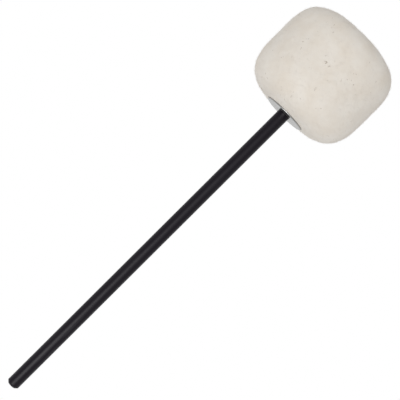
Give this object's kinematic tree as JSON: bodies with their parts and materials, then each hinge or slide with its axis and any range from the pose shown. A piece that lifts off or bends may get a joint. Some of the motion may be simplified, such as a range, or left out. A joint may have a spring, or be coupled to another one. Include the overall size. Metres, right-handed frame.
{
  "type": "bass drum beater",
  "caption": "Squat hard felt head with rounded corners, clamped by a washer and a recessed lock nut on a straight black steel rod that fits a kick pedal's hub.",
  "frame": {"origin": "centre of the rod's lower end face", "axes": "+Z along the rod, from its lower end towards the felt head; the head is round, so X and Y are alike"},
  "size_m": [0.0584, 0.0584, 0.2308],
  "materials": {
    "black_steel": "semi-gloss black coating on steel, slightly rubbed near the lower end",
    "zinc_steel": "bright zinc plate, satin",
    "felt": "hard pressed wool felt, off-white, with a short nap and a few darker fibres",
    "nylon": "natural nylon, satin"
  },
  "bodies": {
    "root": {"shaft": "black_steel", "lower_washer": "zinc_steel", "felt_head": "felt", "upper_washer": "zinc_steel", "lock_nut": "zinc_steel", "nut_insert": "nylon"}
  },
  "joints": []
}
